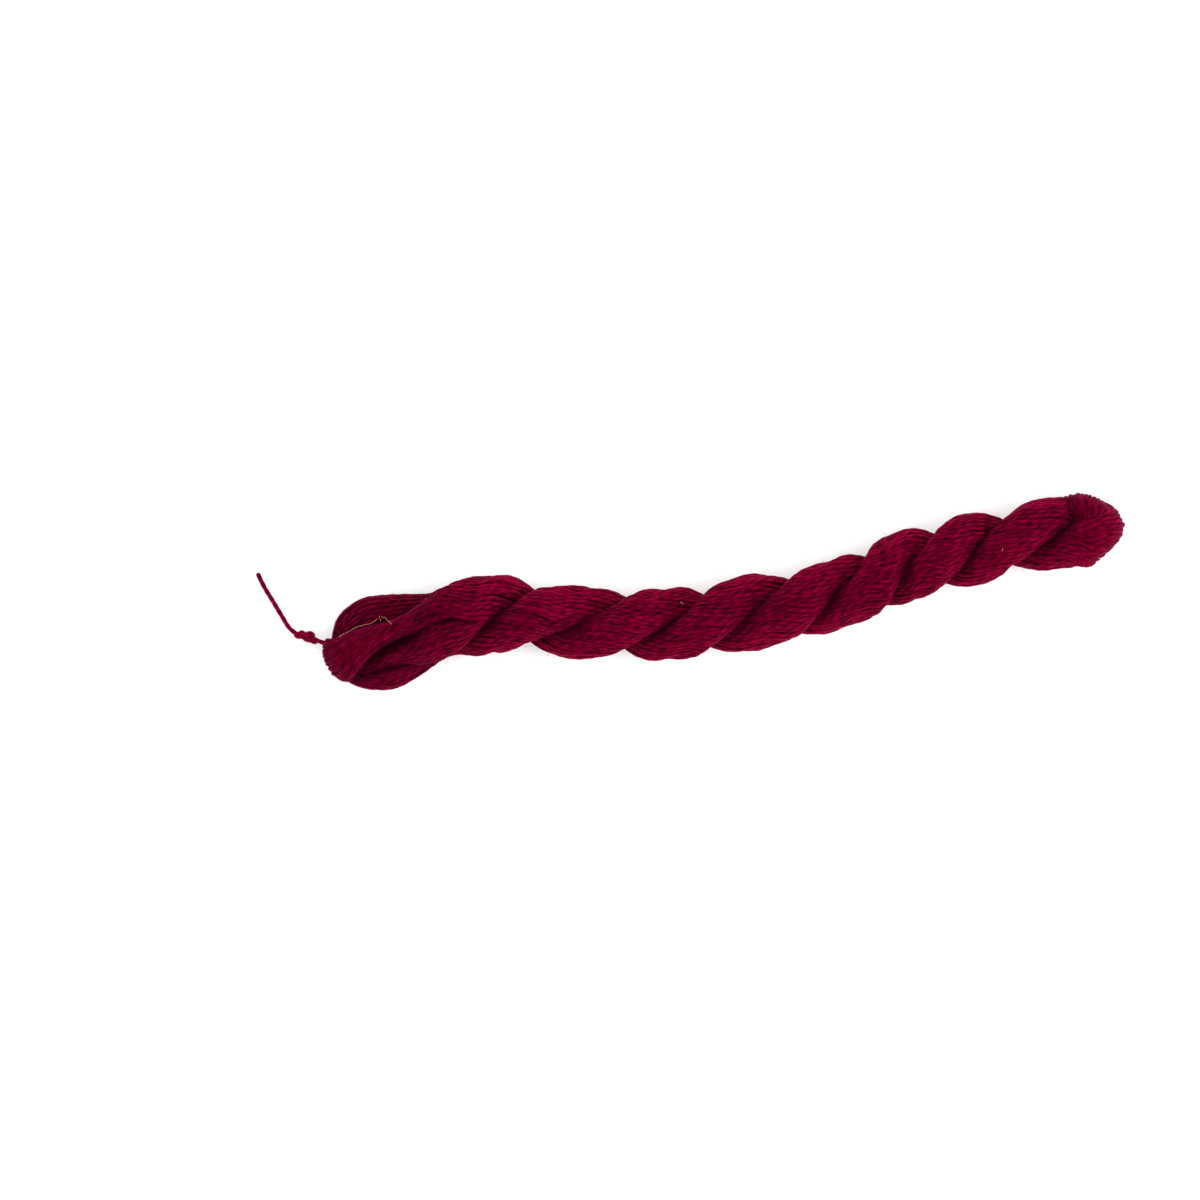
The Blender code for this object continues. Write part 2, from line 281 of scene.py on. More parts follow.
def loop_sections(rows):
    n = len(rows)
    fine = smooth(np.column_stack([np.arange(n), rows]), np.linspace(0, n - 1, 2400))
    middle = np.column_stack(
        [(fine[:, 0] + fine[:, 2]) / 2, (fine[:, 1] + fine[:, 3]) / 2, fine[:, 4]]
    )
    walked = walked_length(middle)
    even = np.linspace(0, walked[-1], int(walked[-1] / STEP) + 2)
    rows = np.stack([np.interp(even, walked, column) for column in fine.T], axis=1)
    middle = np.stack([np.interp(even, walked, column) for column in middle.T], axis=1)
    side = np.column_stack([rows[:, :2] - rows[:, 2:4], -rows[:, 7]])
    half = np.linalg.norm(side, axis=1) / 2
    side /= 2 * half[:, None]
    out = np.cross(side, (0.0, 0.0, 1.0))
    out /= -np.sign(out[:, :1].sum()) * np.linalg.norm(out, axis=1)[:, None]  # to -X
    up = np.cross(out, side)
    up *= np.sign(up[:, 2:])
    turn = np.radians(rows[:, 6])[:, None]
    normal = out * np.sin(turn) + up * np.cos(turn)
    return middle, side, half, normal, rows[:, 5], even / even[-1]


def paired(first, second):
    """For each place of first the nearest free one of second, improved by swaps."""
    own = np.random.default_rng(5)
    cost = ((first[:, None, :] - second[None, :, :]) ** 2).sum(axis=2)
    match = np.full(len(first), -1)
    free = np.ones(len(second), bool)
    for a in np.argsort(-np.hypot(*first.T)):
        b = int(np.argmin(np.where(free, cost[a], 1e9)))
        match[a], free[b] = b, False
    for _ in range(30000):
        i, j = own.integers(0, len(first), 2)
        if (
            cost[i, match[j]] + cost[j, match[i]]
            < cost[i, match[i]] + cost[j, match[j]]
        ):
            match[i], match[j] = match[j], match[i]
    return match


def loop_run(rows, lead, start, end, flipped):
    """A thread round a loop: start and end are (share0, radius) in the ply."""
    middle, side, half, normal, thick, share = loop_sections(rows)
    uv, ends = [], []
    for which, (share0, radius) in enumerate((start, end)):
        p, q = unit_place(share0, radius)
        u, v = disc_place(abs(float(p)), float(q))
        if lead == 0.0:
            v = -v
        if which and flipped:
            u, v = -u, -v
        uv.append((u, v))
    between = step(share, 0.25, 0.75)
    u = uv[0][0] * (1 - between) + uv[1][0] * between
    v = uv[0][1] * (1 - between) + uv[1][1] * between
    here = np.hypot(u, v)
    want = np.hypot(*uv[0]) * (1 - between) + np.hypot(*uv[1]) * between
    grow = np.where(here > 0.25, np.minimum(want / np.maximum(here, 0.01), 1.6), 1.0)
    u, v = u * grow, v * grow
    leg = (
        middle
        + side * (np.maximum(half - THREAD_R, 0.2) * u)[:, None]
        + normal * (np.maximum(thick - THREAD_R, 0.2) * v)[:, None]
    )
    first = np.arange(len(leg)) < int(np.argmin(middle[:, 0]))
    ply = np.where(
        first[:, None],
        ply_strand(lead, start[0], start[1], middle[:, 0]),
        ply_strand(lead, end[0], end[1], middle[:, 0]),
    )
    weight = step(middle[:, 0], *LEFT_BLEND)[:, None]
    in_ply = np.where(first, start[1], end[1]) * step(middle[:, 0], -82.0, -76.0)
    return leg * (1 - weight) + ply * weight, np.maximum(np.hypot(u, v), in_ply)


# --------------------------------------------------- the fold at the right end
def fold_run(share0, radius):
    """A thread from ply B, over, round the tip to ply A, under."""
    p, q = unit_place(share0 + TURNS_PER_TURN * 4.0, radius)
    p, q = float(p), float(q)
    reach = FOLD_MID + FOLD_THICK * q
    y_tip = smooth(FOLD_TURN, 90.0)[0, 0] + (smooth(FOLD_TURN, 90.0)[0, 1] - THREAD_R) * p
    x_tip = float(np.interp(y_tip, TIP[:, 0], TIP[:, 1])) - THREAD_R
    x_tip -= FOLD_THICK * (math.sqrt(max(1 - p * p, 0)) - q) * 1.1
    centre = max(x_tip - reach * 1.1, X_RIGHT + 1.0)
    out_x = x_tip - centre
    straight = centre - X_RIGHT
    turn_length = math.pi * (abs(reach) + out_x) / 2 + 1e-6
    total = 2 * straight + turn_length
    s = np.linspace(0, total, int(total / STEP) + 2)
    turned = np.clip((s - straight) / turn_length, 0, 1)
    beta = turned * math.pi
    x = np.where(
        s < straight,
        X_RIGHT + s,
        np.where(s > straight + turn_length, X_RIGHT + total - s, centre + out_x * np.sin(beta)),
    )
    y_mid, half = smooth(FOLD_TURN, np.degrees(beta)).T
    fold = np.stack(
        [x, y_mid + (half - THREAD_R) * p, FOLD_Z + reach * np.cos(beta)], axis=1
    )
    over = (s < total / 2)[:, None]
    ply = np.where(
        over,
        ply_strand(1.0, share0, radius, x),
        ply_strand(0.0, -share0, radius, x),
    )
    weight = step(x, *RIGHT_BLEND)[:, None]
    return ply * (1 - weight) + fold * weight


# ---------------------------------------------------------------- the threads
X_LEFT, X_RIGHT = -63.8, 82.0


def all_threads():
    """Threads as (points, depth, shell), each through both plies and the ends."""
    keys = [
        (shell, k, (k + 0.5) / n, radius)
        for shell, (radius, n) in enumerate(SHELLS)
        for k in range(n)
    ]
    index = {(shell, k): i for i, (shell, k, _, _) in enumerate(keys)}
    share0 = np.array([key[2] for key in keys])
    radius = np.array([key[3] for key in keys])
    p, q = unit_place(share0, radius)
    right = [i for i in range(len(keys)) if p[i] > 0]
    mirror = [
        index[(keys[i][0], SHELLS[keys[i][0]][1] - 1 - keys[i][1])]
        for i in range(len(keys))
    ]
    left = [mirror[i] for i in right]
    stations = np.linspace(X_LEFT, X_RIGHT, int((X_RIGHT - X_LEFT) / STEP) + 2)

    def legs(members, turned_over):
        u, v = disc_place(np.abs(p[members]), q[members])
        sign = -1 if turned_over else 1
        return np.stack([sign * u, sign * v], axis=1)

    match = paired(legs(right, False), legs(left, True))
    back = {left[b]: right[a] for a, b in enumerate(match)}

    def ply(lead, i):
        points = ply_strand(lead, share0[i], radius[i], stations)
        return points, np.full(len(points), radius[i])

    def loop(rows, lead, a, b, flipped):
        return loop_run(
            rows, lead, (share0[a], radius[a]), (share0[b], radius[b]), flipped
        )

    def fold(i):
        points = fold_run(share0[i], radius[i])
        return points, np.full(len(points), radius[i])

    made = []
    for a in right:
        m = mirror[a]
        b = back[m]
        rear_a, deep_a = loop(REAR_LOOP, 0.0, m, a, False)
        # the thread of ply A that this one becomes behind
        c = mirror[b]
        rear_c, deep_c = loop(REAR_LOOP, 0.0, c, b, False)
        front, deep_f = loop(FRONT_LOOP, 1.0, b, m, True)
        cut = int(np.argmax(loop_sections(REAR_LOOP)[0][:, 1] < -17.4))
        fold_m, fold_b = fold(m), fold(b)
        parts = [
            (rear_a[cut:], deep_a[cut:]),
            ply(0.0, a),
            (fold_m[0][::-1], fold_m[1]),
            tuple(array[::-1] for array in ply(1.0, m)),
            (front[::-1], deep_f[::-1]),
            ply(1.0, b),
            fold_b,
            tuple(array[::-1] for array in ply(0.0, c)),
            (rear_c[:cut], deep_c[:cut]),
        ]
        made.append(
            (
                np.concatenate([part[0] for part in parts]),
                np.concatenate([part[1] for part in parts]),
                keys[a][0],
            )
        )
    return made


def wrap_runs():
    """Threads that wrap over the fold's edge at +Y and go in under those on top."""
    walked = walked_length(RIM)
    made = []
    for at in np.arange(0.3, walked[-1] - 0.5, 1.12):
        x, y = np.interp(at, walked, RIM[:, 0]), np.interp(at, walked, RIM[:, 1])
        before = np.array([np.interp(at - 1, walked, RIM[:, k]) for k in (0, 1)])
        after = np.array([np.interp(at + 1, walked, RIM[:, k]) for k in (0, 1)])
        along = (after - before) / np.linalg.norm(after - before)
        out = np.array([-along[1], along[0]])
        out = out * 0.75 + np.array([0.12, 0.25])
        out /= np.linalg.norm(out)
        fade = step(at, walked[-1] - 6.0, walked[-1])
        top = 13.3 - 2.0 * fade - 4.0 * (1 - step(at, 0.0, 6.0))
        angle = np.radians(np.linspace(-100, 128, 60))
        rx, rz = 3.6, (top - 2.6) / 2
        centre = np.array([x, y]) - out * (rx + THREAD_R)
        reach = rx * np.cos(angle)
        reach = np.where(reach < 0, reach * 1.7, reach)
        points = np.column_stack(
            [
                centre[0] + out[0] * reach,
                centre[1] + out[1] * reach,
                2.6 + rz + rz * np.sin(angle),
            ]
        )
        made.append(points)
    return made


def resampled(points, spacing, *others):
    keep = np.concatenate(
        [[True], np.linalg.norm(np.diff(points, axis=0), axis=1) > 1e-4]
    )
    points = points[keep]
    walked = walked_length(points)
    even = np.linspace(0, walked[-1], max(int(walked[-1] / spacing), 3) + 1)
    line = np.stack([np.interp(even, walked, points[:, k]) for k in range(3)], axis=1)
    if not others:
        return line
    return (line, *(np.interp(even, walked, other[keep]) for other in others))


def softened(points, rounds):
    points = points.copy()
    for _ in range(rounds):
        points[1:-1] = points[1:-1] * 0.5 + (points[:-2] + points[2:]) * 0.25
    return points


def wandered(points, spacing, amount, seed):
    """Slow sideways wandering of one thread."""
    own = np.random.default_rng(seed)
    s = np.arange(len(points)) * spacing
    out = points.copy()
    for axis in range(3):
        move = np.zeros(len(points))
        for wavelength, share in ((46, 0.6), (27, 0.5), (13, 0.35), (7, 0.16)):
            move += share * np.sin(
                2 * np.pi * (s / (wavelength * own.uniform(0.8, 1.25)) + own.random())
            )
        out[:, axis] += amount * move
    return out


# ---------------------------------------------------------------- tube meshes
LOBED = np.radians([0, 42, 90, 138, 180, 222, 270, 318])
LOBED_R = np.array([1.0, 0.96, 0.88, 0.96, 1.0, 0.96, 0.88, 0.96])
LOBED_LOW = np.radians([0, 60, 120, 180, 240, 300])
LOBED_LOW_R = np.array([1.0, 0.78, 0.78, 1.0, 0.78, 0.78])


def stretches(grade):
    """(first, last + 1, value) of each run of equal values."""
    edges = np.nonzero(np.diff(grade))[0] + 1
    bounds = np.concatenate([[0], edges, [len(grade)]])
    return [
        (int(a), int(b), int(grade[a])) for a, b in zip(bounds[:-1], bounds[1:])
    ]


def frames(points):
    along = np.gradient(points, axis=0)
    along /= np.linalg.norm(along, axis=1)[:, None]
    n = len(points)
    side = np.empty_like(points)
    first = np.cross(along[0], (0.3, 0.2, 1.0))
    now = first / np.linalg.norm(first)
    for k in range(n):
        now = now - along[k] * (now @ along[k])
        now = now / math.sqrt(now @ now)
        side[k] = now
    return along, side, np.cross(along, side)


class Tubes:
    """Collects tubes into one mesh, with the yarn's own coordinates on its points."""

    def __init__(self, name):
        self.name = name
        self.points, self.faces, self.count = [], [], 0
        self.yarn, self.tint, self.shade = [], [], []

    def add(
        self, points, radius, pitch, phase, tint, angles, radii, shade=None, away=None
    ):
        n, sides = len(points), len(angles)
        shade = np.ones(n) if shade is None else shade
        along, side, other = frames(points)
        s = np.concatenate(
            [[0], np.cumsum(np.linalg.norm(np.diff(points, axis=0), axis=1))]
        )
        turn = -2 * np.pi * s / pitch + phase if pitch else np.full(n, phase)
        a = angles[None, :] + turn[:, None]
        r = (np.asarray(radius) * np.ones(n))[:, None] * radii[None, :]
        ring = (
            points[:, None, :]
            + side[:, None, :] * (np.cos(a) * r)[..., None]
            + other[:, None, :] * (np.sin(a) * r)[..., None]
        )
        around = np.repeat(shade[:, None], sides, axis=1)
        # painted shade between neighbouring threads, baked into each ring's colour
        if away is not None:  # darker on the sides that face the next threads
            facing = ((ring - points[:, None, :]) * away[:, None, :]).sum(axis=2) / r
            around = around * (GAP_SHADE + (1 - GAP_SHADE) * step(facing, 0.1, 1.05))
        ring[..., 2] = np.maximum(ring[..., 2], 0.02)
        base = self.count
        self.points.append(ring.reshape(-1, 3))
        own = np.empty((n, sides, 3))  # the fibres lie along the thread
        own[..., 0] = np.cos(a) * radii
        own[..., 1] = np.sin(a) * radii
        own[..., 2] = s[:, None]
        self.yarn.append(own.reshape(-1, 3))
        self.tint.append(np.full(n * sides, tint))
        self.shade.append(around.ravel())
        i = np.arange(n - 1)[:, None] * sides
        j = np.arange(sides)[None, :]
        k = (j + 1) % sides
        quads = np.stack(
            [base + i + j, base + i + k, base + i + sides + k, base + i + sides + j],
            axis=-1,
        ).reshape(-1, 4)
        self.faces.append(quads)
        self.count += n * sides
        # closed ends
        for ring_start, end_point, flip in (
            (base, points[0] - along[0] * 0.1, True),
            (base + (n - 1) * sides, points[-1] + along[-1] * 0.1, False),
        ):
            self.points.append(end_point[None])
            self.yarn.append(np.array([[0, 0, s[0] if flip else s[-1]]]))
            self.tint.append(np.array([tint]))
            self.shade.append(shade[:1] if flip else shade[-1:])
            tip = self.count
            self.count += 1
            a0 = ring_start + np.arange(sides)
            a1 = ring_start + (np.arange(sides) + 1) % sides
            tri = np.stack([a0, a1, np.full(sides, tip), np.full(sides, tip)], axis=-1)
            if flip:
                tri = tri[:, [1, 0, 2, 3]]
            self.faces.append(tri)

    def triangles(self):
        return sum(
            2 * len(f) if (f[:, 2] != f[:, 3]).all() else len(f) for f in self.faces
        )

    def build(self, material):
        points = np.concatenate(self.points) * MM
        faces = np.concatenate(self.faces)
        is_tri = faces[:, 2] == faces[:, 3]
        sizes = np.where(is_tri, 3, 4)
        starts = np.concatenate([[0], np.cumsum(sizes)[:-1]])
        keep = np.ones(faces.size, bool)
        keep[np.nonzero(is_tri)[0] * 4 + 3] = False
        loops = faces.ravel()[keep]
        mesh = bpy.data.meshes.new(self.name)
        mesh.vertices.add(len(points))
        mesh.vertices.foreach_set("co", points.astype(np.float32).ravel())
        mesh.loops.add(len(loops))
        mesh.loops.foreach_set("vertex_index", loops.astype(np.int32))
        mesh.polygons.add(len(faces))
        mesh.polygons.foreach_set("loop_start", starts.astype(np.int32))
        mesh.polygons.foreach_set("use_smooth", np.ones(len(faces), bool))
        yarn = mesh.attributes.new("yarn", "FLOAT_VECTOR", "POINT")
        yarn.data.foreach_set(
            "vector", np.concatenate(self.yarn).astype(np.float32).ravel()
        )
        for name, values in (("tint", self.tint), ("shade", self.shade)):
            made = mesh.attributes.new(name, "FLOAT", "POINT")
            made.data.foreach_set("value", np.concatenate(values).astype(np.float32))
        mesh.update(calc_edges=True)
        mesh.validate()
        obj = bpy.data.objects.new(self.name, mesh)
        bpy.context.scene.collection.objects.link(obj)
        mesh.materials.append(material)
        return obj


# ---------------------------------------------------------------- materials
def yarn_material(name, deep, bright, sheen):
    made = bpy.data.materials.new(name)
    made.use_nodes = True
    tree = made.node_tree
    nodes, links = tree.nodes, tree.links
    shader = nodes["Principled BSDF"]
    shader.inputs["Roughness"].default_value = 0.6
    shader.inputs["Specular IOR Level"].default_value = 0.02
    shader.inputs["Specular Tint"].default_value = (0.8, 0.0, 0.26, 1)
    shader.inputs["Sheen Weight"].default_value = sheen
    shader.inputs["Sheen Roughness"].default_value = 0.5
    shader.inputs["Sheen Tint"].default_value = (0.6, 0.0, 0.14, 1)
    yarn = nodes.new("ShaderNodeAttribute")
    yarn.attribute_name = "yarn"
    tint = nodes.new("ShaderNodeAttribute")
    tint.attribute_name = "tint"

    scaled = nodes.new("ShaderNodeMapping")
    scaled.inputs["Scale"].default_value = (3.2, 3.2, 0.35)
    links.new(yarn.outputs["Vector"], scaled.inputs["Vector"])
    streak = nodes.new("ShaderNodeTexNoise")
    streak.inputs["Scale"].default_value = 2.0
    streak.inputs["Detail"].default_value = 4.0
    streak.inputs["Roughness"].default_value = 0.65
    links.new(scaled.outputs["Vector"], streak.inputs["Vector"])

    slow_map = nodes.new("ShaderNodeMapping")
    slow_map.inputs["Scale"].default_value = (0.2, 0.2, 0.11)
    links.new(yarn.outputs["Vector"], slow_map.inputs["Vector"])
    slow_add = nodes.new("ShaderNodeVectorMath")
    slow_add.operation = "ADD"
    wide = nodes.new("ShaderNodeVectorMath")
    wide.operation = "SCALE"
    wide.inputs["Scale"].default_value = 37.0
    links.new(tint.outputs["Vector"], wide.inputs[0])
    links.new(slow_map.outputs["Vector"], slow_add.inputs[0])
    links.new(wide.outputs["Vector"], slow_add.inputs[1])
    slow = nodes.new("ShaderNodeTexNoise")
    slow.inputs["Scale"].default_value = 1.0
    slow.inputs["Detail"].default_value = 2.0
    links.new(slow_add.outputs["Vector"], slow.inputs["Vector"])

    # how far out on the thread: 0 in the groove between its plies, 1 on a crest
    length = nodes.new("ShaderNodeVectorMath")
    length.operation = "LENGTH"
    flat = nodes.new("ShaderNodeVectorMath")
    flat.operation = "MULTIPLY"
    flat.inputs[1].default_value = (1, 1, 0)
    links.new(yarn.outputs["Vector"], flat.inputs[0])
    links.new(flat.outputs["Vector"], length.inputs[0])
    crest = nodes.new("ShaderNodeMapRange")
    crest.inputs["From Min"].default_value = 0.88
    crest.inputs["From Max"].default_value = 0.99
    links.new(length.outputs["Value"], crest.inputs["Value"])

    # short strokes of light and dark along the thread
    dash_map = nodes.new("ShaderNodeMapping")
    dash_map.inputs["Scale"].default_value = (1.2, 1.2, 0.42)
    links.new(yarn.outputs["Vector"], dash_map.inputs["Vector"])
    dash_add = nodes.new("ShaderNodeVectorMath")
    dash_add.operation = "ADD"
    links.new(dash_map.outputs["Vector"], dash_add.inputs[0])
    links.new(wide.outputs["Vector"], dash_add.inputs[1])
    dash = nodes.new("ShaderNodeTexNoise")
    dash.inputs["Scale"].default_value = 1.0
    dash.inputs["Detail"].default_value = 1.0
    links.new(dash_add.outputs["Vector"], dash.inputs["Vector"])

    total = None
    for source, share in ((streak, 0.3), (dash, 0.5), (slow, 0.2)):
        term = nodes.new("ShaderNodeMath")
        term.operation = "MULTIPLY_ADD"
        term.inputs[1].default_value = share
        term.inputs[2].default_value = 0.0
        links.new(source.outputs["Fac"], term.inputs[0])
        if total:
            links.new(total.outputs["Value"], term.inputs[2])
        total = term
    lit = nodes.new("ShaderNodeMath")
    lit.operation = "MULTIPLY"
    links.new(total.outputs["Value"], lit.inputs[0])
    # painted highlight and shade: lighter on each ply's crest, darker in the groove between the
    # plies
    widen = nodes.new("ShaderNodeMapRange")
    widen.inputs["To Min"].default_value = 0.8
    widen.inputs["To Max"].default_value = 1.13
    links.new(crest.outputs["Result"], widen.inputs["Value"])
    links.new(widen.outputs["Result"], lit.inputs[1])

    ramp = nodes.new("ShaderNodeValToRGB")
    ramp.color_ramp.elements[0].position = 0.3
    ramp.color_ramp.elements[0].color = (*deep, 1)
    ramp.color_ramp.elements[1].position = 0.76
    ramp.color_ramp.elements[1].color = (*bright, 1)
    links.new(lit.outputs["Value"], ramp.inputs["Fac"])
    # painted shade and light from the 'shade' attribute scale the base colour
    shade = nodes.new("ShaderNodeAttribute")
    shade.attribute_name = "shade"
    deepen = nodes.new("ShaderNodeVectorMath")
    deepen.operation = "SCALE"
    links.new(ramp.outputs["Color"], deepen.inputs[0])
    links.new(shade.outputs["Fac"], deepen.inputs["Scale"])
    links.new(deepen.outputs["Vector"], shader.inputs["Base Color"])

    bump = nodes.new("ShaderNodeBump")
    bump.inputs["Strength"].default_value = 0.35
    bump.inputs["Distance"].default_value = 0.00008
    links.new(streak.outputs["Fac"], bump.inputs["Height"])
    links.new(bump.outputs["Normal"], shader.inputs["Normal"])
    return made


# ---------------------------------------------------------------- stage
def make_stage():
    centre = Vector((-32.6 * MM, -2.6 * MM, 0))
    camera_data = bpy.data.cameras.new("camera")
    camera_data.lens = 200
    camera_data.sensor_width = 36
    camera_data.clip_start, camera_data.clip_end = 0.05, 20
    camera = bpy.data.objects.new("camera", camera_data)
    camera.location = centre + Vector((0, 0, 0.312 * 200 / 36 + 0.008))
    camera.rotation_euler = (0, 0, 0)
    bpy.context.scene.collection.objects.link(camera)
    bpy.context.scene.camera = camera

    floor_mesh = bpy.data.meshes.new("floor")
    size = 3.0
    floor_mesh.from_pydata(
        [(-size, -size, 0), (size, -size, 0), (size, size, 0), (-size, size, 0)],
        [],
        [(0, 1, 2, 3)],
    )
    floor = bpy.data.objects.new("floor", floor_mesh)
    bpy.context.scene.collection.objects.link(floor)
    white = bpy.data.materials.new("floor")
    white.use_nodes = True
    white.node_tree.nodes["Principled BSDF"].inputs["Base Color"].default_value = (
        0.9, 0.9, 0.9, 1,
    )
    white.node_tree.nodes["Principled BSDF"].inputs["Roughness"].default_value = 0.9
    white.node_tree.nodes["Principled BSDF"].inputs[
        "Specular IOR Level"
    ].default_value = 0.1
    floor_mesh.materials.append(white)

    world = bpy.data.worlds.new("studio")
    bpy.context.scene.world = world
    world.use_nodes = True
    tree = world.node_tree
    around = tree.nodes.new("ShaderNodeTexCoord")
    split = tree.nodes.new("ShaderNodeSeparateXYZ")
    tree.links.new(around.outputs["Generated"], split.inputs["Vector"])
    fall = tree.nodes.new("ShaderNodeMapRange")  # brighter walls than ceiling
    fall.inputs["From Min"].default_value = 0.1
    fall.inputs["From Max"].default_value = 0.9
    fall.inputs["To Min"].default_value = 3.2
    fall.inputs["To Max"].default_value = 1.1
    tree.links.new(split.outputs["Z"], fall.inputs["Value"])
    background = tree.nodes["Background"]
    background.inputs["Color"].default_value = (1, 1, 1, 1)
    lean = tree.nodes.new("ShaderNodeMath")  # and brighter from +X
    lean.operation = "MULTIPLY_ADD"
    lean.inputs[1].default_value, lean.inputs[2].default_value = 0.25, 1.0
    tree.links.new(split.outputs["X"], lean.inputs[0])
    both = tree.nodes.new("ShaderNodeMath")
    both.operation = "MULTIPLY"
    tree.links.new(fall.outputs["Result"], both.inputs[0])
    tree.links.new(lean.outputs["Value"], both.inputs[1])
    tree.links.new(both.outputs["Value"], background.inputs["Strength"])

    for name, place, size, power in (
        ("key", (0.85, -0.2, 0.8), 0.7, 4.0),
        ("fill", (-0.2, 0.6, 1.1), 0.8, 2.0),
    ):
        light = bpy.data.lights.new(name, "AREA")
        light.size = size
        light.energy = power
        lamp = bpy.data.objects.new(name, light)
        lamp.location = Vector(place) + centre
        lamp.rotation_euler = (centre - lamp.location).to_track_quat("-Z", "Y").to_euler()
        bpy.context.scene.collection.objects.link(lamp)
    bpy.context.scene.view_settings.view_transform = "Standard"
    bpy.context.scene.view_settings.look = "None"


# ---------------------------------------------------------------- the tie
TIE_ROUTE = np.array((
    (-102.75, -14.4, 3.65),
    (-104.9, -13.7, 2.6),
    (-106.2, -13.2, 2.05),
    (-107.7, -12.7, 1.87),
    (-109.2, -12.2, 1.85),
    (-110.7, -11.7, 1.85),
    (-112.2, -11.15, 1.75),
    (-113.9, -9.6, 1.15),
    (-115.6, -6.9, 0.75),
    (-118.0, -2.9, 0.7),
    (-120.3, 0.9, 0.7),
    (-122.0, 4.4, 0.7),
))


# Deep creases of the left end, in plan, and how much painted shade darkens them along the way
EYE = np.array((  # x, y, share
    (-94.6, -22.2, 0.5),
    (-92.0, -18.9, 0.8),
    (-89.6, -16.1, 1.0),
    (-86.2, -13.7, 1.0),
    (-82.6, -12.4, 1.0),
    (-78.0, -10.9, 0.5),
))
UNDER_EYE = np.array((
    (-96.4, -22.8, 0.8),
    (-91.4, -22.2, 1.0),
    (-88.5, -20.4, 1.0),
    (-85.2, -19.8, 0.8),
    (-76.1, -18.4, 0.6),
))


def closeness(points, line, width):
    """How near to a line in plan, from 1 on it to 0, scaled with the line's share."""
    n = len(line)
    fine = smooth(np.column_stack([np.arange(n), line]), np.linspace(0, n - 1, 60))
    apart = np.hypot(
        points[:, :1] - fine[None, :, 0], points[:, 1:2] - fine[None, :, 1]
    )
    return (fine[None, :, 2] * np.exp(-((apart / width) ** 2))).max(axis=1)


